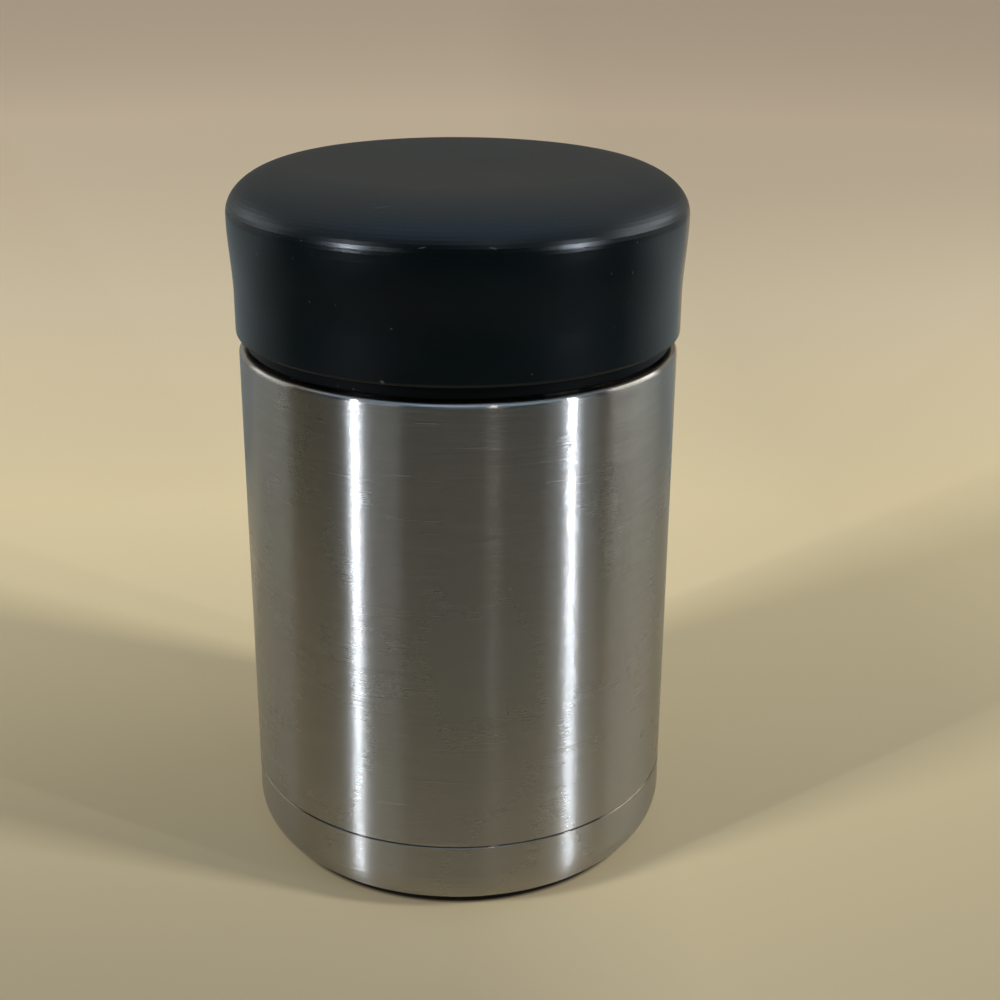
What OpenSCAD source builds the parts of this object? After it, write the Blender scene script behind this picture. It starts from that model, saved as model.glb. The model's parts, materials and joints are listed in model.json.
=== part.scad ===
// Insulated food container: a double walled steel jar with a screw lid.
// Millimetres, Z up, with the origin on the jar's axis in the plane that it stands on.

/* [Casing] */
// Outside diameter of the steel casing
body_d = 94; // [90:1:104]
// Height of the shoulder above the table
shoulder_h = 115; // [95:1:160]
// Height of the seam between the casing and the base cup
seam_h = 17; // [15:0.5:24]
// Thickness of the sheet of the casing and the base cup
shell_t = 0.6; // [0.5:0.1:1]
// Radius of the rounded outer edge of the shoulder
shoulder_r = 1.2; // [1.1:0.1:3]
// Height of the neck, from the shoulder to the top of the lip
neck_h = 16; // [14:0.5:20]

/* [Base cup] */
// Width of the rounded bottom corner, seen from the side
base_corner_w = 7; // [5:0.5:9]
// Height of the rounded bottom corner
base_corner_h = 8; // [7:0.1:9]
// How far the foot ring stands out below the bottom corner
foot_rise = 1.3; // [0.8:0.1:1.6]
// Width of the ring that the jar stands on
foot_w = 3.4; // [2.5:0.1:5]
// Depth of the recess in the underside
recess_h = 2.2; // [1.8:0.1:3]
// Depth of the pocket above the recess that holds the vacuum seal
pocket_h = 2.8; // [2.2:0.1:3.5]
// Radius of the pocket at its top
pocket_r = 7; // [5.5:0.5:10]
// Thickness of the disc that closes the recess
disc_t = 0.6; // [0.5:0.1:1.2]

/* [Vessel] */
// Width of the vacuum space round the vessel
vacuum_gap = 4; // [3:0.1:5]
// Height of the vacuum space between the pocket and the vessel's bottom
bottom_gap = 4.4; // [4:0.1:8]
// Thickness of the vessel's sheet
liner_t = 0.5; // [0.4:0.1:0.8]
// Radius of the curve between the vessel's bottom and its side
vessel_corner_r = 8; // [5:0.5:12]
// Thickness of the reflective foil
foil_t = 0.2; // [0.1:0.05:0.3]
// Radius of the getter pellet
getter_r = 5.5; // [4:0.5:8]
// Thickness of the getter pellet
getter_t = 2; // [1.5:0.1:2.5]

/* [Lid] */
// How far the cover stands out beyond the casing at its lower edge
cover_over = 0.5; // [0:0.1:1]
// How far the cover flares outwards between its lower edge and its widest line
cover_flare = 0.9; // [0:0.1:2]
// Height of the cover, from its lower edge to its crest
cover_h = 34.8; // [33:0.1:45]
// Height of the plain band above the cover's lower edge
cover_band_h = 7.8; // [7:0.1:13]
// Width of the cover's soft upper corner, from the widest line to the crest
cover_corner_w = 16; // [10:0.1:20]
// Height of the cover's soft upper corner
cover_corner_h = 9.7; // [7:0.1:11]
// Depth of the dish in the middle of the cover
dish_h = 1; // [0.5:0.1:3]
// Wall of the cover
cover_t = 1.8; // [1.4:0.1:2.4]
// Height of the black ring that shows between the casing and the cover
ring_show = 3.2; // [2:0.1:5]
// Wall of the lid liner's skirt and of its plug
skirt_t = 1.6; // [1.2:0.1:2]
// How far the plug reaches down into the mouth
plug_h = 7; // [4:0.5:10]
// Thickness of the silicone gasket
gasket_t = 2; // [1.5:0.1:3]

/* [Hidden] */

// Sides of every turned shape, and steps in a quarter arc, in a small one and in a long soft curve
turn_sides = 144;
arc_steps = 10;
small_steps = 5;
soft_steps = 20;

// Casing: the fine groove at the seam, the fillet at the neck's root and the joggled rim inside the seam
body_r = body_d / 2;
seam_groove = 0.25;
neck_fillet_r = 1;
rim_h = 3;
rim_gap = 0.1;
rim_r = body_r - shell_t - rim_gap;

// Base cup: the slopes inside and outside the foot ring, the pocket's slope and the evacuation hole
foot_slope = 1.2;
foot_step = 1;
pocket_slope = 2;
hole_r = 1.2;
// How far a sloped wall's inner face is shifted outwards, as a share of the sheet
slope_share = 0.6;
corner_in_r = body_r - base_corner_w;
foot_out_r = corner_in_r - foot_step;
foot_in_r = foot_out_r - foot_w;
recess_r = foot_in_r - foot_slope;
pocket_z = recess_h + pocket_h;
wall_shift = slope_share * shell_t;

// Disc and vacuum seal
disc_gap = 0.4;
disc_edge = 0.2;
bead_r = 3.6;
bead_h = 1.4;
bead_stem_gap = 0.05;

// Lid: the play between its two mouldings and the room for the screw threads
liner_play = 0.3;
thread_room = 2.4;
cover_r = body_r + cover_over;
ring_r = cover_r - cover_t - liner_play;
bore_r = ring_r - skirt_t;
neck_r = bore_r - thread_room;

// Vessel: its wall in the neck stands off from the casing by neck_gap
neck_gap = 0.8;
vessel_r = body_r - shell_t - vacuum_gap;
throat_r = neck_r - shell_t - neck_gap;
mouth_r = throat_r - liner_t;
// Clearance under the shoulder, and height of the curve that draws the vessel in to its throat
throat_drop = 2.2;
throat_curve_h = 6;
throat_top_z = shoulder_h - shell_t - throat_drop;
throat_low_z = throat_top_z - throat_curve_h;
vessel_z = pocket_z + shell_t + bottom_gap;
weld_rim_h = 3;
weld_z = vessel_z + vessel_corner_r + weld_rim_h;

// Lip: it is rolled over the top of the casing's neck and stands a little proud of it
lip_proud = 0.3;
lip_side_h = 0.5;
lip_z = shoulder_h + neck_h;
lip_out_r = neck_r + lip_proud;
lip_r = (lip_out_r - mouth_r) / 2;
lip_side_z = lip_z - lip_r;
neck_top_z = lip_side_z - lip_side_h;

// Foil and getter
foil_gap = 0.1;
foil_margin = 2;
holder_t = 0.3;
pellet_gap = 0.05;

// Lid liner: its skirt stops short of the shoulder, and its plug hangs inside the mouth
skirt_gap = 0.4;
skirt_edge = 0.4;
seal_gap = 0.2;
gasket_gap = 0.1;
plug_gap = 1.3;
plug_edge_r = 2;
groove_d = 0.7;
plate_t = 1.8;
skirt_z = shoulder_h + skirt_gap;
gasket_z = lip_z + seal_gap;
gasket_top_z = gasket_z + gasket_t;
plate_z = gasket_top_z + gasket_gap;
plate_top_z = plate_z + plate_t;
plug_r = mouth_r - plug_gap;
plug_in_r = plug_r - groove_d - skirt_t;
plug_z = lip_z - plug_h;
groove_z = gasket_z - gasket_gap;

// Gasket: it covers the whole lip
gasket_over = 1;
gasket_edge = 0.3;
gasket_in_r = plug_r - groove_d + gasket_gap;
gasket_out_r = lip_out_r + gasket_over;

// Cover: a ledge inside it bears on the lid liner
ledge_w = 1.4;
ledge_h = 2;
cover_edge_r = 0.7;
cover_z = shoulder_h + ring_show;
crest_z = cover_z + cover_h;
widest_z = crest_z - cover_corner_h;
widest_r = cover_r + cover_flare;
crest_r = widest_r - cover_corner_w;
band_z = cover_z + cover_band_h;
ledge_r = ring_r - ledge_w;
ledge_z = plate_top_z + ledge_h;

// Foam in the lid
foam_gap = 0.25;

// Colours, as the photograph shows them
steel = [0.60, 0.58, 0.54];
vessel_steel = [0.70, 0.69, 0.66];
black = [0.07, 0.08, 0.09];
silicone = [0.80, 0.80, 0.78];
foam = [0.93, 0.92, 0.86];
foil = [0.86, 0.86, 0.87];
getter_grey = [0.30, 0.30, 0.32];
glass = [0.55, 0.65, 0.60];

// A point on an ellipse about c with the half axes h, at angle t.
function on_ellipse(c, h, t) = [c[0] + h[0] * cos(t), c[1] + h[1] * sin(t)];

// Points along an arc of such an ellipse, from angle a to angle b.
function arc(c, h, a, b, steps = arc_steps) =
    [for (i = [0:steps]) on_ellipse(c, h, a + (b - a) * i / steps)];

// Points along a soft S curve that leaves the point p and reaches the point q, both upright.
function soft_curve(p, q, steps = arc_steps) =
    [for (i = [0:steps]) let (t = i / steps)
        [p[0] + (q[0] - p[0]) * (1 - cos(180 * t)) / 2, p[1] + (q[1] - p[1]) * t]];

// Points across the dished crown whose crest is at height z, from share a to share b of the crest's radius.
function crown(z, a, b) =
    [for (i = [0:soft_steps]) let (t = a + (b - a) * i / soft_steps)
        [crest_r * t, z - dish_h * (1 + cos(180 * t)) / 2]];

// The points without the first, for a curve that goes on from the end of another.
function tail(points) = [for (i = [1:len(points) - 1]) points[i]];

// Turns half an outline, given as radius and height, into a solid.
module turned(outline) {
    rotate_extrude($fn = turn_sides)
        polygon(outline);
}

// The drawn casing: side, rounded shoulder and neck, open at the seam and at the mouth.
module outer_shell() {
    shoulder_c = [body_r - shoulder_r, shoulder_h - shoulder_r];
    root_c = [neck_r + neck_fillet_r, shoulder_h + neck_fillet_r];
    root_in_r = neck_fillet_r + shell_t;
    edge_in_r = shoulder_r - shell_t;
    color(steel)
        turned(concat(
            [[body_r - seam_groove, seam_h],
             [body_r, seam_h + seam_groove]],
            arc(shoulder_c, [shoulder_r, shoulder_r], 0, 90),
            arc(root_c, [neck_fillet_r, neck_fillet_r], 270, 180, small_steps),
            [[neck_r, neck_top_z],
             [neck_r - shell_t, neck_top_z]],
            arc(root_c, [root_in_r, root_in_r], 180, 270, small_steps),
            arc(shoulder_c, [edge_in_r, edge_in_r], 90, 0),
            [[body_r - shell_t, seam_h]]));
}

// The pressed base cup: joggled rim, rounded corner, foot ring, recess and sealing pocket.
module outer_base() {
    corner_c = [corner_in_r, foot_rise + base_corner_h];
    color(steel)
        turned(concat(
            [[rim_r - shell_t, seam_h + rim_h],
             [rim_r, seam_h + rim_h],
             [rim_r, seam_h],
             [body_r - seam_groove, seam_h],
             [body_r, seam_h - seam_groove]],
            arc(corner_c, [base_corner_w, base_corner_h], 0, -90),
            [[foot_out_r, 0],
             [foot_in_r, 0],
             [recess_r, recess_h],
             [pocket_r + pocket_slope, recess_h],
             [pocket_r, pocket_z],
             [hole_r, pocket_z],
             [hole_r, pocket_z + shell_t],
             [pocket_r + wall_shift, pocket_z + shell_t],
             [pocket_r + pocket_slope + wall_shift, recess_h + shell_t],
             [recess_r + wall_shift, recess_h + shell_t],
             [foot_in_r + wall_shift, shell_t],
             [foot_out_r - wall_shift, shell_t]],
            arc(corner_c, [base_corner_w - shell_t, base_corner_h - shell_t], -90, 0),
            [[body_r - shell_t, seam_h - rim_h - rim_gap],
             [rim_r - shell_t, seam_h - rim_h]]));
}

// The disc that lies against the recess and hides the sealed hole.
module base_disc() {
    disc_r = recess_r - disc_gap;
    color(steel)
        turned([
            [0, recess_h - disc_t],
            [disc_r - disc_edge, recess_h - disc_t],
            [disc_r, recess_h - disc_t + disc_edge],
            [disc_r, recess_h],
            [0, recess_h]]);
}

// The glass bead under the evacuation hole, with a stem that fills the hole.
module vacuum_seal_bead() {
    stem_r = hole_r - bead_stem_gap;
    color(glass)
        turned(concat(
            [[0, pocket_z + shell_t]],
            arc([0, pocket_z], [bead_r, bead_h], -90, 0),
            [[stem_r, pocket_z],
             [stem_r, pocket_z + shell_t]]));
}

// The vessel's wall, drawn in to the throat and rolled over at the lip.
module inner_liner() {
    color(vessel_steel)
        turned(concat(
            [[vessel_r - liner_t, weld_z],
             [vessel_r, weld_z]],
            soft_curve([vessel_r, throat_low_z], [throat_r, throat_top_z]),
            [[throat_r, neck_top_z],
             [lip_out_r, neck_top_z]],
            arc([lip_out_r - lip_r, lip_side_z], [lip_r, lip_r], 0, 180),
            soft_curve([mouth_r, throat_top_z], [vessel_r - liner_t, throat_low_z])));
}

// The vessel's dished bottom, welded edge to edge to its wall.
module liner_base() {
    corner_c = [vessel_r - vessel_corner_r, vessel_z + vessel_corner_r];
    corner_in_r = vessel_corner_r - liner_t;
    color(vessel_steel)
        turned(concat(
            [[0, vessel_z]],
            arc(corner_c, [vessel_corner_r, vessel_corner_r], -90, 0),
            [[vessel_r, weld_z],
             [vessel_r - liner_t, weld_z]],
            arc(corner_c, [corner_in_r, corner_in_r], 0, -90),
            [[0, vessel_z + liner_t]]));
}

// The foil wrapped round the vessel, which throws radiant heat back.
module reflective_foil() {
    foil_in_r = vessel_r + foil_gap;
    foil_low_z = weld_z + foil_margin;
    foil_top_z = throat_low_z - foil_margin;
    color(foil)
        turned([
            [foil_in_r, foil_low_z],
            [foil_in_r + foil_t, foil_low_z],
            [foil_in_r + foil_t, foil_top_z],
            [foil_in_r, foil_top_z]]);
}

// The little cup welded under the vessel, open downwards.
module getter_holder() {
    holder_in_r = getter_r + pellet_gap;
    holder_low_z = vessel_z - holder_t - pellet_gap - getter_t;
    color(vessel_steel)
        turned([
            [0, vessel_z],
            [holder_in_r + holder_t, vessel_z],
            [holder_in_r + holder_t, holder_low_z],
            [holder_in_r, holder_low_z],
            [holder_in_r, vessel_z - holder_t],
            [0, vessel_z - holder_t]]);
}

// The pressed getter pellet inside its holder.
module getter_pellet() {
    color(getter_grey)
        translate([0, 0, vessel_z - holder_t - pellet_gap - getter_t])
            cylinder(h = getter_t, r = getter_r, $fn = turn_sides);
}

// The silicone ring, stretched into the groove at the plug's root.
module lid_gasket() {
    color(silicone)
        turned([
            [gasket_in_r, gasket_z],
            [gasket_out_r - gasket_edge, gasket_z],
            [gasket_out_r, gasket_z + gasket_edge],
            [gasket_out_r, gasket_top_z - gasket_edge],
            [gasket_out_r - gasket_edge, gasket_top_z],
            [gasket_in_r, gasket_top_z]]);
}

// The outer moulding: plain band, slight flare, soft corner and dished crown, open below.
module lid_cover() {
    corner_c = [crest_r, widest_z];
    color(black)
        turned(concat(
            [[cover_r - cover_t, cover_z]],
            arc([cover_r - cover_edge_r, cover_z + cover_edge_r], [cover_edge_r, cover_edge_r], -90, 0,
                small_steps),
            soft_curve([cover_r, band_z], [widest_r, widest_z]),
            tail(arc(corner_c, [cover_corner_w, cover_corner_h], 0, 90, soft_steps)),
            tail(crown(crest_z, 1, 0)),
            crown(crest_z - cover_t, 0, 1),
            tail(arc(corner_c, [cover_corner_w - cover_t, cover_corner_h - cover_t], 90, 0, soft_steps)),
            [[cover_r - cover_t, ledge_z],
             [ledge_r, ledge_z],
             [ledge_r, plate_top_z],
             [cover_r - cover_t, plate_top_z]]));
}

// The inner moulding: threaded skirt, plate over the lip and hollow plug.
module lid_liner() {
    color(black)
        turned(concat(
            [[bore_r, skirt_z + skirt_edge],
             [bore_r + skirt_edge, skirt_z],
             [ring_r - skirt_edge, skirt_z],
             [ring_r, skirt_z + skirt_edge],
             [ring_r, plate_top_z],
             [plug_in_r, plate_top_z],
             [plug_in_r, plug_z + plate_t],
             [0, plug_z + plate_t],
             [0, plug_z]],
            arc([plug_r - plug_edge_r, plug_z + plug_edge_r], [plug_edge_r, plug_edge_r], -90, 0,
                small_steps),
            [[plug_r, groove_z],
             [plug_r - groove_d, groove_z],
             [plug_r - groove_d, plate_z],
             [bore_r, plate_z]]));
}

// The foam between the mouldings: it fills the plug and the space under the crown.
module lid_insulation() {
    foam_r = ledge_r - foam_gap;
    foam_low_z = plug_z + plate_t + foam_gap;
    foam_step_z = plate_top_z + foam_gap;
    foam_top_z = crest_z - cover_t - foam_gap;
    color(foam)
        turned(concat(
            [[0, foam_low_z],
             [plug_in_r - foam_gap, foam_low_z],
             [plug_in_r - foam_gap, foam_step_z],
             [foam_r, foam_step_z]],
            arc([crest_r, widest_z], [foam_r - crest_r, foam_top_z - widest_z], 0, 90),
            tail(crown(foam_top_z, 1, 0))));
}

outer_shell();
outer_base();
base_disc();
vacuum_seal_bead();
inner_liner();
liner_base();
reflective_foil();
getter_holder();
getter_pellet();
lid_gasket();
lid_cover();
lid_liner();
lid_insulation();
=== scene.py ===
"""Looks of the insulated food container: finishes, screw threads, floor, light and camera.

Everything is in metres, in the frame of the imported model, with +Z up, the jar's axis on Z and the camera in
front, on the side of -Y.
"""
import json
import math
from collections import namedtuple

import bmesh
import bpy
from mathutils import Matrix, Vector


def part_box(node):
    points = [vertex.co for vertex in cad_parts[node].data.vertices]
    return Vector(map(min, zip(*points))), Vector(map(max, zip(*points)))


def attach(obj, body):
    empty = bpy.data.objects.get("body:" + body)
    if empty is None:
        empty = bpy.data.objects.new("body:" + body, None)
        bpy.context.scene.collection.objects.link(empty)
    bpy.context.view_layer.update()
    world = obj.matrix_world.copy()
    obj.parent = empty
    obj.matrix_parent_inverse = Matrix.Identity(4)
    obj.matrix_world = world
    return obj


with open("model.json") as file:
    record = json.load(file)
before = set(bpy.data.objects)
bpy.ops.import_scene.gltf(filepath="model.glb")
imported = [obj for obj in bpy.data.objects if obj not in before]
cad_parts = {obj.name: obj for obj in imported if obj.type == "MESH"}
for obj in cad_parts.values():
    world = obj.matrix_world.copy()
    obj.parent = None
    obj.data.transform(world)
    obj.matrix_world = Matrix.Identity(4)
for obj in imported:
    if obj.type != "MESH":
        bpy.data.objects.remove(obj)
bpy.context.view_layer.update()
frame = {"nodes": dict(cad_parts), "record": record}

MM = 0.001

# Sizes read from the frame
SEAM_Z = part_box("outer_shell")[0][2]
LIP_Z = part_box("inner_liner")[1][2]
SKIRT_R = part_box("lid_liner")[1][0]
SKIRT_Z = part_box("lid_liner")[0][2]

# Screw thread: two starts with this lead, as the coupling of the lid's two joints says
THREAD_STARTS = 2
THREAD_LEAD = frame["record"]["behaviour"]["couplings"][0]["ratio"] * 2 * math.pi
# The skirt's thickness, and the room for the thread between the skirt's bore and the neck
SKIRT_T = 1.6 * MM
THREAD_ROOM = 2.4 * MM
BORE_R = SKIRT_R - SKIRT_T
NECK_R = BORE_R - THREAD_ROOM
# A ridge rises from its wall, outwards on the neck and inwards in the skirt, and climbs from low_z to high_z
RidgeShape = namedtuple("RidgeShape", "wall_r rise foot_w crest_w low_z high_z")
NECK_RIDGE = RidgeShape(wall_r=NECK_R, rise=1.4 * MM, foot_w=2.2 * MM, crest_w=1.2 * MM,
                        low_z=LIP_Z - 12.8 * MM, high_z=LIP_Z - 3.8 * MM)
SKIRT_RIDGE = RidgeShape(wall_r=BORE_R, rise=-1.3 * MM, foot_w=1.8 * MM, crest_w=1.0 * MM,
                         low_z=SKIRT_Z + 2.2 * MM, high_z=SKIRT_Z + 8.6 * MM)
# Steps along a ridge, how deep its foot is sunk in the wall, and how its edges are rounded
RIDGE_STEPS = 120
RIDGE_SUNK = 0.15 * MM
RIDGE_ROUND = 0.25 * MM
RIDGE_ROUND_STEPS = 3
# Each end dies away over so many degrees, and narrows to this share of the ridge's width
RIDGE_END_DEGREES = 12.0
RIDGE_END_WIDTH = 0.25

# Camera, found by fitting it to the photograph's outlines: angles in radians, lens and sensor in mm
CAMERA_PLACE = Vector((0.0, -0.33571, 0.20673))
CAMERA_DOWN = 0.3673
CAMERA_RIGHT = 0.0255
CAMERA_ROLL = -0.0027
CAMERA_LENS = 57.6
CAMERA_SENSOR = 36.0

# Floor: half its width, the painted contact shadow, a dark disc under the base's corner, with its soft edge
# and what is left of the paper's tone there, and how much the photograph's view widens on each side with each
# metre behind the jar
FLOOR_HALF_W = 6.0
CONTACT_R = 41.3 * MM
CONTACT_SOFT = 1.2 * MM
CONTACT_TONE = 0.03
VIEW_WIDENS = 0.4

# Dark card: it goes round from one angle to the other, in degrees from the camera's side. It lies just over
# the paper, from its near edge in front or at the sides out to its far edge, and there it stands up
FLAG_FROM = -160.0
FLAG_TO = 150.0
FLAG_SIDE = 90.0
FLAG_STEPS = 40
FLAG_NEAR = 0.075
FLAG_NEAR_SIDE = 0.235
FLAG_FAR = 1.30
FLAG_Z = 0.004
FLAG_H = 1.10

# Lamps: the height on the jar's axis that they face, and the colours that two of them share
AIM_Z = 0.08
STREAK_BLUE = (0.77, 0.86, 1.0)
HIGH_WHITE = (0.92, 0.98, 1.0)

# Each lamp's name, azimuth and elevation in degrees, distance, width and height in metres, watts, colour,
# and whether reflections show it
LAMPS = (
    ("lamp_left", -52.4, 9.0, 1.2, 0.018, 0.36, 4.7, STREAK_BLUE, True),
    ("lamp_left_high", -57.0, 27.0, 1.2, 0.20, 0.22, 11.2, HIGH_WHITE, False),
    ("lamp_left_window", -114.0, 18.0, 1.2, 0.80, 0.34, 1.1, (0.80, 0.90, 1.0), True),
    ("lamp_right", 57.5, 9.0, 1.2, 0.015, 0.36, 4.6, STREAK_BLUE, True),
    ("lamp_right_high", 68.0, 27.0, 1.2, 0.15, 0.22, 12.0, HIGH_WHITE, False),
    ("lamp_left_soft", -41.0, 8.0, 1.2, 0.50, 0.12, 0.45, (0.85, 0.93, 1.0), True),
    ("lamp_right_soft", 58.0, 7.0, 1.2, 0.60, 0.12, 0.50, (0.82, 0.92, 1.0), True),
    ("lamp_side", 103.0, 20.0, 0.8, 0.56, 0.22, 1.25, (0.88, 0.95, 1.0), True),
    ("lamp_strip", 18.5, 34.0, 1.1, 0.02, 0.25, 0.22, (1.0, 0.98, 0.94), True),
)


# Node helpers

def new_material(name):
    """An empty node material with its shader and output joined."""
    material = bpy.data.materials.new(name)
    material.use_nodes = True
    tree = material.node_tree
    tree.nodes.clear()
    shader = tree.nodes.new("ShaderNodeBsdfPrincipled")
    output = tree.nodes.new("ShaderNodeOutputMaterial")
    tree.links.new(shader.outputs["BSDF"], output.inputs["Surface"])
    return material, tree, shader


def add(tree, kind, settings=None, inputs=None):
    """Adds a node, sets its properties, and sets or links its inputs."""
    node = tree.nodes.new(kind)
    for key, value in (settings or {}).items():
        setattr(node, key, value)
    for key, value in (inputs or {}).items():
        if isinstance(value, bpy.types.NodeSocket):
            tree.links.new(value, node.inputs[key])
        else:
            node.inputs[key].default_value = value
    return node


def place(tree):
    """Position in the object, which is the frame's own position in metres."""
    return add(tree, "ShaderNodeTexCoord").outputs["Object"]


def split(tree, vector):
    """The outputs X, Y and Z of a vector."""
    return add(tree, "ShaderNodeSeparateXYZ", inputs={"Vector": vector}).outputs


def length(tree, vector):
    """The length of a vector."""
    return add(tree, "ShaderNodeVectorMath", {"operation": "LENGTH"}, {0: vector}).outputs["Value"]


def upwards(tree):
    """How far a face looks up: 1 on top, 0 on a wall and -1 underneath."""
    return split(tree, add(tree, "ShaderNodeNewGeometry").outputs["Normal"])["Z"]


def noise(tree, scale, detail=3.0, roughness=0.5):
    """Noise over the object, with a scale per axis in cells a metre."""
    stretch = add(tree, "ShaderNodeMapping", inputs={"Vector": place(tree), "Scale": scale})
    cloud = add(tree, "ShaderNodeTexNoise", inputs={
        "Vector": stretch.outputs["Vector"], "Scale": 1.0, "Detail": detail, "Roughness": roughness})
    return cloud.outputs["Fac"]


def spread(tree, value, low, high, to_low=0.0, to_high=1.0):
    """Maps value from the range low..high to another range, held at its ends."""
    node = add(tree, "ShaderNodeMapRange", {"clamp": True}, {
        "Value": value, "From Min": low, "From Max": high, "To Min": to_low, "To Max": to_high})
    return node.outputs["Result"]


def maths(tree, operation, first, second=0.0):
    """One operation on one or two values or sockets."""
    return add(tree, "ShaderNodeMath", {"operation": operation}, {0: first, 1: second}).outputs["Value"]


def weigh(tree, *parts):
    """The sum of sockets, each times its own number."""
    shares = [maths(tree, "MULTIPLY", socket, factor) for socket, factor in parts]
    total = shares[0]
    for share in shares[1:]:
        total = maths(tree, "ADD", total, share)
    return total


def tint(tree, factor, first, second):
    """A colour between two colours, each a socket or three numbers."""
    inputs = {"Factor": factor}
    for key, colour in (("A", first), ("B", second)):
        inputs[key] = colour if isinstance(colour, bpy.types.NodeSocket) else (*colour, 1.0)
    return add(tree, "ShaderNodeMix", {"data_type": "RGBA"}, inputs).outputs["Result"]


def bump(tree, height, strength, distance, filter_width=0.1):
    """A bump normal from a height. Lines much finer than a pixel need a small filter width."""
    return add(tree, "ShaderNodeBump", inputs={
        "Height": height, "Strength": strength, "Distance": distance,
        "Filter Width": filter_width}).outputs["Normal"]


# Materials

def steel_colour(tree, lines, dark, light, seam_z):
    """The steel's tone along its lines, with pale scratches, a painted highlight on upward faces and a dark
    band along the seam.
    """
    scratched = (0.52, 0.51, 0.49)
    upward_painted_highlight = (0.56, 0.49, 0.41)
    seam_dark = (0.14, 0.108, 0.078)
    scratch = spread(tree, noise(tree, (55.0, 55.0, 2600.0), 1.0), 0.76, 0.80)
    colour = tint(tree, spread(tree, lines, 0.3, 0.7), dark, light)
    colour = tint(tree, scratch, colour, scratched)
    # Painted highlight: upward faces are paler and warmer
    colour = tint(tree, spread(tree, upwards(tree), 0.15, 0.60), colour, upward_painted_highlight)
    if seam_z is None:
        return colour
    # Darker in a thin band along the seam
    height = split(tree, place(tree))["Z"]
    off_seam = maths(tree, "ABSOLUTE", maths(tree, "SUBTRACT", height, seam_z))
    return tint(tree, spread(tree, off_seam, 0.16 * MM, 0.30 * MM, 1.0, 0.0), colour, seam_dark)


def steel_roughness(tree, lines, rough_low, rough_high):
    """The steel's roughness: it follows the lines, smudges add to it, and upward faces are smoother."""
    grain = spread(tree, lines, 0.3, 0.7, rough_low, rough_high)
    smudge = noise(tree, (38.0, 38.0, 26.0), 4.0)
    worn = maths(tree, "ADD", grain, spread(tree, smudge, 0.5, 0.8, 0.0, 0.05))
    polish = spread(tree, upwards(tree), 0.15, 0.45, 0.0, 0.12)
    return maths(tree, "SUBTRACT", worn, polish)


def steel_relief(tree, fine):
    """The steel's height in metres: fine lines, hairlines, ragged strokes and the sheet's slight waves."""
    hairline = noise(tree, (60.0, 60.0, 24000.0), 0.0)
    strokes = noise(tree, (170.0, 170.0, 1100.0), 3.0, 0.6)
    waves = noise(tree, (24.0, 24.0, 30.0), 1.0)
    return weigh(
        tree, (fine, 0.004 * MM), (hairline, 0.025 * MM), (strokes, 0.014 * MM), (waves, 0.16 * MM))


def brushed_steel(name, dark, light, rough_low, rough_high, stretch, seam_z=None):
    """Stainless sheet brushed round the axis, which stretches its highlights along the axis by stretch."""
    material, tree, shader = new_material(name)
    fine = noise(tree, (30.0, 30.0, 5200.0), 2.0)
    bands = noise(tree, (9.0, 9.0, 900.0), 3.0)
    lines = weigh(tree, (fine, 0.7), (bands, 0.3))
    tree.links.new(steel_colour(tree, lines, dark, light, seam_z), shader.inputs["Base Color"])
    tree.links.new(steel_roughness(tree, lines, rough_low, rough_high), shader.inputs["Roughness"])
    relief = bump(tree, steel_relief(tree, fine), 1.0, 1.0, filter_width=0.01)
    tree.links.new(relief, shader.inputs["Normal"])
    # The grain runs round the axis, and a quarter turn stretches the highlight across it
    quarter_turn = 0.25
    tangent = add(tree, "ShaderNodeTangent", {"direction_type": "RADIAL", "axis": "Z"})
    tree.links.new(tangent.outputs["Tangent"], shader.inputs["Tangent"])
    shader.inputs["Metallic"].default_value = 1.0
    shader.inputs["Anisotropic"].default_value = stretch
    shader.inputs["Anisotropic Rotation"].default_value = quarter_turn
    return material


def moulded_plastic(name, dark, light, rough_low, rough_high, specular, top_painted_sheen, top_rough):
    """Matte moulded plastic with a fine skin, handling marks, dust specks and a few faint scratches.

    A face that looks up takes the paler top colour, a painted sheen, and is rougher by top_rough. The
    undersides are rougher too.
    """
    dusty = (0.10, 0.10, 0.095)
    dust_most = 0.35
    under_rough = 0.45
    material, tree, shader = new_material(name)
    marks = noise(tree, (55.0, 55.0, 70.0), 5.0, 0.6)
    specks = spread(tree, noise(tree, (1500.0, 1500.0, 1500.0), 0.0), 0.875, 0.93, 0.0, dust_most)
    scratches = spread(tree, noise(tree, (40.0, 2400.0, 900.0), 0.0), 0.845, 0.90, 0.0, dust_most)
    upward = upwards(tree)
    colour = tint(tree, spread(tree, marks, 0.35, 0.7), dark, light)
    # Painted sheen: upward faces are paler
    colour = tint(tree, spread(tree, upward, 0.55, 0.90), colour, top_painted_sheen)
    colour = tint(tree, maths(tree, "MAXIMUM", specks, scratches), colour, dusty)
    tree.links.new(colour, shader.inputs["Base Color"])
    gloss = spread(tree, marks, 0.3, 0.75, rough_low, rough_high)
    crown = spread(tree, upward, 0.14, 0.74, 0.0, top_rough)
    under = spread(tree, upward, -0.40, -0.10, under_rough, 0.0)
    rough = maths(tree, "ADD", gloss, maths(tree, "ADD", crown, under))
    tree.links.new(rough, shader.inputs["Roughness"])
    skin = noise(tree, (1700.0, 1700.0, 1700.0), 3.0, 0.6)
    tree.links.new(bump(tree, skin, 0.8, 0.04 * MM), shader.inputs["Normal"])
    shader.inputs["Specular IOR Level"].default_value = specular
    return material


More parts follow.
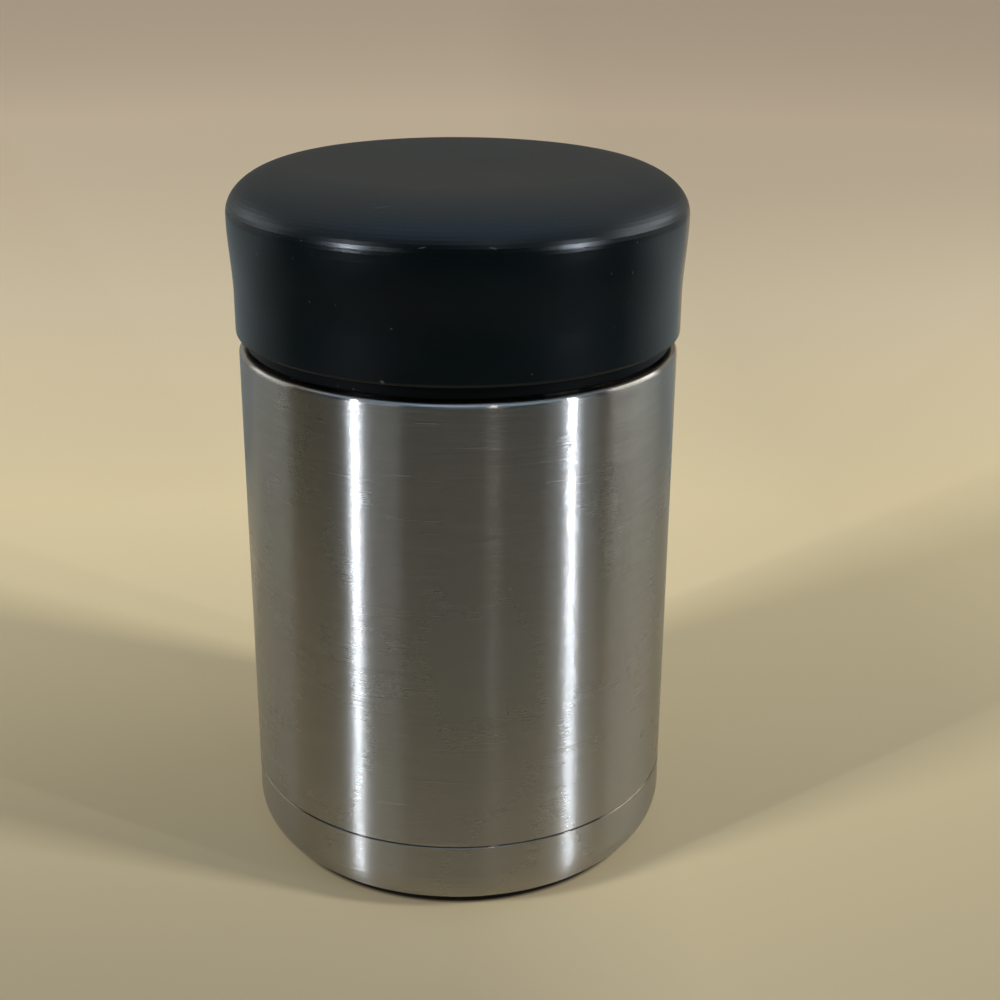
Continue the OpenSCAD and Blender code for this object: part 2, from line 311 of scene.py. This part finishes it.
def plain(name, colour, rough, cell, metallic=0.0, rise=0.05 * MM, vary=0.08):
    """A simple finish whose tone, gloss and surface vary with one noise, of so many cells a metre."""
    material, tree, shader = new_material(name)
    cloud = noise(tree, (cell, cell, cell), 4.0)
    deep = tuple(c * (1.0 - vary) for c in colour)
    tree.links.new(tint(tree, spread(tree, cloud, 0.3, 0.7), deep, colour), shader.inputs["Base Color"])
    tree.links.new(spread(tree, cloud, 0.3, 0.7, rough - vary, rough + vary), shader.inputs["Roughness"])
    tree.links.new(bump(tree, cloud, 0.5, rise), shader.inputs["Normal"])
    shader.inputs["Metallic"].default_value = metallic
    return material


casing_steel = brushed_steel(
    "casing_steel", dark=(0.37, 0.357, 0.334), light=(0.39, 0.378, 0.355),
    rough_low=0.262, rough_high=0.274, stretch=1.0, seam_z=SEAM_Z)
vessel_steel = brushed_steel(
    "vessel_steel", dark=(0.42, 0.41, 0.39), light=(0.50, 0.49, 0.47),
    rough_low=0.34, rough_high=0.42, stretch=0.7)
cover_plastic = moulded_plastic(
    "cover_plastic", dark=(0.0008, 0.0018, 0.002), light=(0.0014, 0.0030, 0.0034),
    rough_low=0.19, rough_high=0.23, specular=0.40, top_painted_sheen=(0.0070, 0.0082, 0.0080), top_rough=0.30)
liner_plastic = moulded_plastic(
    "liner_plastic", dark=(0.0010, 0.0016, 0.0018), light=(0.0016, 0.0024, 0.0027),
    rough_low=0.34, rough_high=0.42, specular=0.10, top_painted_sheen=(0.0016, 0.0024, 0.0027), top_rough=0.0)
silicone = plain("silicone", (0.62, 0.62, 0.60), rough=0.5, cell=900.0)
foam = plain("foam", (0.86, 0.84, 0.76), rough=0.85, cell=1500.0, rise=0.2 * MM)
foil = plain("foil", (0.80, 0.80, 0.81), rough=0.25, cell=300.0, metallic=1.0)
getter = plain("getter", (0.12, 0.12, 0.13), rough=0.7, cell=2500.0)
seal_glass = plain("seal_glass", (0.30, 0.42, 0.36), rough=0.15, cell=200.0)

FINISHES = {
    "outer_shell": casing_steel,
    "outer_base": casing_steel,
    "base_disc": casing_steel,
    "vacuum_seal_bead": seal_glass,
    "inner_liner": vessel_steel,
    "liner_base": vessel_steel,
    "reflective_foil": foil,
    "getter_holder": vessel_steel,
    "getter_pellet": getter,
    "lid_gasket": silicone,
    "lid_cover": cover_plastic,
    "lid_liner": liner_plastic,
    "lid_insulation": foam,
}

for node_name, finish in FINISHES.items():
    mesh = frame["nodes"][node_name].data
    mesh.materials.clear()
    mesh.materials.append(finish)


# Meshes

def mesh_object(name, points, faces):
    """A new object in the scene, made of points and faces."""
    shape = bpy.data.meshes.new(name)
    shape.from_pydata(points, [], faces)
    made = bpy.data.objects.new(name, shape)
    bpy.context.scene.collection.objects.link(made)
    return made


def face_outwards(shape):
    """Turns every face of a closed mesh outwards."""
    work = bmesh.new()
    work.from_mesh(shape)
    bmesh.ops.recalc_face_normals(work, faces=work.faces)
    work.to_mesh(shape)
    work.free()


def stage_sheet(name, rows):
    """A stage object made of rows of points joined by faces."""
    across = len(rows[0])
    points = [point for row in rows for point in row]
    faces = []
    for first in range(0, len(points) - across, across):
        for corner in range(first, first + across - 1):
            faces.append((corner, corner + 1, corner + across + 1, corner + across))
    sheet = mesh_object(name, points, faces)
    return sheet


# Screw threads

def ridge_points(shape, start):
    """Corners of a ridge's section, one ring of them after another along a right-handed helix."""
    turn = (shape.high_z - shape.low_z) / THREAD_LEAD * 2 * math.pi
    sunk = math.copysign(RIDGE_SUNK, -shape.rise)
    foot = shape.foot_w / 2
    crest = shape.crest_w / 2
    # Each corner's fixed place off the wall, how far it rises where the ridge is full, and its place across
    section = ((sunk, 0.0, -foot), (0.0, 0.0, -foot), (0.0, shape.rise, -crest),
               (0.0, shape.rise, crest), (0.0, 0.0, foot), (sunk, 0.0, foot))
    points = []
    for step in range(RIDGE_STEPS + 1):
        share = step / RIDGE_STEPS
        from_end = min(share, 1.0 - share) * math.degrees(turn) / RIDGE_END_DEGREES
        full = math.sin(min(from_end, 1.0) * math.pi / 2)
        width = RIDGE_END_WIDTH + (1.0 - RIDGE_END_WIDTH) * full
        angle = start + turn * share
        middle = shape.low_z + (shape.high_z - shape.low_z) * share
        for fixed, rise, across in section:
            radius = shape.wall_r + fixed + rise * full
            points.append((radius * math.cos(angle), radius * math.sin(angle), middle + across * width))
    return points, len(section)


def ridge_faces(corners):
    """Faces round the rings of a ridge's corners, and one over each end."""
    faces = []
    for step in range(RIDGE_STEPS):
        ring = step * corners
        after = ring + corners
        for corner in range(corners):
            beside = (corner + 1) % corners
            faces.append((ring + corner, after + corner, after + beside, ring + beside))
    last = RIDGE_STEPS * corners
    faces.append(tuple(range(corners)))
    faces.append(tuple(last + corner for corner in reversed(range(corners))))
    return faces


def thread_ridge(name, body, finish, shape, start):
    """One start of a thread: a rounded ridge that begins at the angle start and climbs its wall."""
    points, corners = ridge_points(shape, start)
    ridge = mesh_object(name, points, ridge_faces(corners))
    face_outwards(ridge.data)
    ridge.data.materials.append(finish)
    ridge.data.shade_smooth()
    rounding = ridge.modifiers.new("rounding", "BEVEL")
    rounding.width = RIDGE_ROUND
    rounding.segments = RIDGE_ROUND_STEPS
    rounding.limit_method = "ANGLE"
    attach(ridge, body)


def screw_threads():
    """Ridges round the neck, and ridges inside the lid's skirt that run midway between them."""
    midway = THREAD_LEAD / THREAD_STARTS / 2
    climb = 2 * math.pi / THREAD_LEAD
    later = (SKIRT_RIDGE.low_z - NECK_RIDGE.low_z - midway) * climb
    for start in range(THREAD_STARTS):
        begin = 2 * math.pi * start / THREAD_STARTS
        lid_begin = begin + later
        thread_ridge("neck_thread_%d" % start, "jar", casing_steel, NECK_RIDGE, begin)
        thread_ridge("lid_thread_%d" % start, "lid", liner_plastic, SKIRT_RIDGE, lid_begin)


# Floor and card

def out_of_view(tree, here):
    """How far a place on the floor is beside or in front of the jar, less what the view widens behind it."""
    ahead = maths(tree, "MINIMUM", here["Y"], 0.0)
    squares = maths(tree, "ADD", maths(tree, "MULTIPLY", here["X"], here["X"]),
                    maths(tree, "MULTIPLY", ahead, ahead))
    behind = maths(tree, "MAXIMUM", here["Y"], 0.0)
    widened = maths(tree, "MULTIPLY", behind, VIEW_WIDENS)
    return maths(tree, "SUBTRACT", maths(tree, "SQRT", squares), widened)


def floor_paper():
    """Matte paper, darker at the front, with a painted shadow at the front left, painted shade towards the
    right and a painted contact shadow under the base.

    Outside the photograph's view it is toned down, so that the lamps leave no bright patches beside the jar,
    and far off it glows in the backdrop's tone.
    """
    front_left_painted_shadow = (0.285, 0.228, 0.143)
    front_right = (0.395, 0.31, 0.19)
    beside_jar = (0.79, 0.615, 0.355)
    behind_jar = (0.86, 0.67, 0.43)
    far_in_view = (0.23, 0.172, 0.125)
    far_out_of_view = (0.34, 0.265, 0.19)
    no_glow = (0.0, 0.0, 0.0)
    material, tree, shader = new_material("floor_paper")
    spot = place(tree)
    here = split(tree, spot)
    away = length(tree, spot)
    beyond = out_of_view(tree, here)
    # Painted shadow: the paper is darker at the front left
    colour = tint(tree, spread(tree, here["X"], 0.0, 0.05), front_left_painted_shadow, front_right)
    colour = tint(tree, spread(tree, here["Y"], -0.10, 0.20), colour, beside_jar)
    colour = tint(tree, spread(tree, here["Y"], 0.20, 0.50), colour, behind_jar)
    # Painted contact shadow: the paper is near-black in a disc under the base's corner
    contact_shadow = spread(tree, away, CONTACT_R, CONTACT_R + CONTACT_SOFT, CONTACT_TONE, 1.0)
    # Painted shade: darker outside the view, where the lamps would leave bright patches, and darker towards
    # the right
    outside = spread(tree, beyond, 0.30, 0.75, 1.0, 0.30)
    right = spread(tree, here["X"], 0.03, 0.13, 1.0, 0.86)
    shade = maths(tree, "MULTIPLY", right, maths(tree, "MULTIPLY", contact_shadow, outside))
    shaded = add(tree, "ShaderNodeVectorMath", {"operation": "SCALE"}, {0: colour, "Scale": shade})
    tree.links.new(shaded.outputs["Vector"], shader.inputs["Base Color"])
    fibre = noise(tree, (900.0, 900.0, 900.0), 2.0)
    tree.links.new(bump(tree, fibre, 0.1, 0.05 * MM), shader.inputs["Normal"])
    distant = tint(tree, spread(tree, beyond, 0.2, 0.9), far_in_view, far_out_of_view)
    glow = tint(tree, spread(tree, away, 0.3, 1.25), no_glow, distant)
    tree.links.new(glow, shader.inputs["Emission Color"])
    shader.inputs["Emission Strength"].default_value = 1.0
    shader.inputs["Roughness"].default_value = 0.75
    shader.inputs["Specular IOR Level"].default_value = 0.25
    return material


def paper_floor():
    """A wide floor under the jar."""
    side = FLOOR_HALF_W
    floor = stage_sheet("floor", [
        [(-side, -side, 0.0), (side, -side, 0.0)],
        [(-side, side, 0.0), (side, side, 0.0)]])
    floor.data.materials.append(floor_paper())


def flag_paint():
    """The card's paint, a painted reflection: patchy drab near the jar, and farther off near-black in front
    and pale behind.
    """
    drab = (0.235, 0.185, 0.11)
    drab_left = (0.27, 0.235, 0.185)
    drab_right = (0.185, 0.182, 0.165)
    patch = (0.29, 0.24, 0.16)
    black = (0.004, 0.009, 0.010)
    pale = (0.37, 0.38, 0.365)
    material, tree, shader = new_material("flag_card")
    spot = place(tree)
    here = split(tree, spot)
    away = length(tree, spot)
    near = tint(tree, spread(tree, here["X"], -1.25, -0.75, 1.0, 0.0), drab, drab_left)
    near = tint(tree, spread(tree, here["X"], 0.05, 0.25), near, drab_right)
    patches = spread(tree, noise(tree, (3.0, 3.0, 0.2), 2.0), 0.3, 0.7, 0.0, 0.35)
    near = tint(tree, patches, near, patch)
    far = tint(tree, spread(tree, here["Y"], -0.03, 0.27), black, pale)
    tree.links.new(tint(tree, spread(tree, away, 0.13, 0.42), near, far), shader.inputs["Base Color"])
    shader.inputs["Roughness"].default_value = 0.9
    return material


def dark_flag():
    """A dark card round the front and sides, as photographers use, a painted reflection: only reflections see
    it.
    """
    low = Vector((0.0, 0.0, FLAG_Z))
    high = Vector((0.0, 0.0, FLAG_H))
    rows = []
    for step in range(FLAG_STEPS + 1):
        degrees = FLAG_FROM + (FLAG_TO - FLAG_FROM) * step / FLAG_STEPS
        angle = math.radians(degrees)
        aside = min(abs(degrees) / FLAG_SIDE, 1.0)
        near = FLAG_NEAR + (FLAG_NEAR_SIDE - FLAG_NEAR) * aside ** 2
        out = Vector((math.sin(angle), -math.cos(angle), 0.0))
        rows.append([out * near + low, out * FLAG_FAR + low, out * FLAG_FAR + high])
    flag = stage_sheet("flag", rows)
    flag.data.materials.append(flag_paint())
    flag.visible_camera = False
    flag.visible_shadow = False
    flag.visible_diffuse = False


# World, lamps and camera

def studio_world():
    """A plain room: paper-coloured at the horizon, cool overhead in front and pale overhead behind.

    The camera sees one plain tone, and the room lights matt surfaces less than it shows in reflections.
    """
    front_low = (0.13, 0.12, 0.10)
    front_high = (0.52, 0.735, 1.04)
    behind_low = (0.14, 0.13, 0.11)
    behind_high = (0.52, 0.53, 0.49)
    horizon = (0.42, 0.33, 0.23)
    backdrop = (0.42, 0.34, 0.25)
    matt_strength = 0.30
    world = bpy.data.worlds.new("studio")
    bpy.context.scene.world = world
    world.use_nodes = True
    tree = world.node_tree
    tree.nodes.clear()
    towards = split(tree, add(tree, "ShaderNodeTexCoord").outputs["Generated"])
    height = towards["Z"]
    front = tint(tree, spread(tree, height, 0.40, 0.85), front_low, front_high)
    behind = tint(tree, spread(tree, height, 0.15, 0.70), behind_low, behind_high)
    room = tint(tree, spread(tree, towards["Y"], 0.00, 0.35), front, behind)
    room = tint(tree, spread(tree, height, 0.04, 0.09, 1.0, 0.0), room, horizon)
    ray = add(tree, "ShaderNodeLightPath").outputs
    shown = tint(tree, ray["Is Camera Ray"], room, backdrop)
    seen = maths(tree, "MAXIMUM", ray["Is Camera Ray"], ray["Is Glossy Ray"])
    strength = spread(tree, seen, 0.0, 1.0, matt_strength, 1.0)
    background = add(tree, "ShaderNodeBackground", inputs={"Color": shown, "Strength": strength})
    output = add(tree, "ShaderNodeOutputWorld")
    tree.links.new(background.outputs["Background"], output.inputs["Surface"])


def softbox(name, azimuth, elevation, distance, width, height, watts, colour, mirrored):
    """A lamp that faces the jar. Azimuth 0 is the camera's side and positive is to the right, in degrees.

    A lamp that isn't mirrored lights matt surfaces only: no reflection shows it.
    """
    round_by = math.radians(azimuth)
    up_by = math.radians(elevation)
    level = math.cos(up_by)
    away = Vector((math.sin(round_by) * level, -math.cos(round_by) * level, math.sin(up_by)))
    data = bpy.data.lights.new(name, "AREA")
    data.shape = "RECTANGLE"
    data.size = width
    data.size_y = height
    data.energy = watts
    data.color = colour
    lamp = bpy.data.objects.new(name, data)
    lamp.location = Vector((0.0, 0.0, AIM_Z)) + away * distance
    lamp.rotation_euler = (-away).to_track_quat("-Z", "Y").to_euler()
    lamp.visible_glossy = mirrored
    bpy.context.scene.collection.objects.link(lamp)


def photo_camera():
    """The photograph's camera: it looks down at the jar and a little to the right of its axis."""
    down_cos = math.cos(CAMERA_DOWN)
    down_sin = math.sin(CAMERA_DOWN)
    ahead = Vector((0.0, down_cos, -down_sin))
    side = Vector((1.0, 0.0, 0.0))
    up = Vector((0.0, down_sin, down_cos))
    turned = ahead * math.cos(CAMERA_RIGHT) + side * math.sin(CAMERA_RIGHT)
    turned_side = side * math.cos(CAMERA_RIGHT) - ahead * math.sin(CAMERA_RIGHT)
    right = turned_side * math.cos(CAMERA_ROLL) + up * math.sin(CAMERA_ROLL)
    top = up * math.cos(CAMERA_ROLL) - turned_side * math.sin(CAMERA_ROLL)
    data = bpy.data.cameras.new("camera")
    data.lens = CAMERA_LENS
    data.sensor_width = CAMERA_SENSOR
    data.clip_start = 0.01
    data.clip_end = 50.0
    camera = bpy.data.objects.new("camera", data)
    rotation = Matrix((right, top, -turned)).transposed()
    camera.matrix_world = Matrix.Translation(CAMERA_PLACE) @ rotation.to_4x4()
    bpy.context.scene.collection.objects.link(camera)
    bpy.context.scene.camera = camera


screw_threads()
paper_floor()
dark_flag()
studio_world()
for lamp_row in LAMPS:
    softbox(*lamp_row)
photo_camera()
bpy.context.scene.view_settings.view_transform = "Standard"
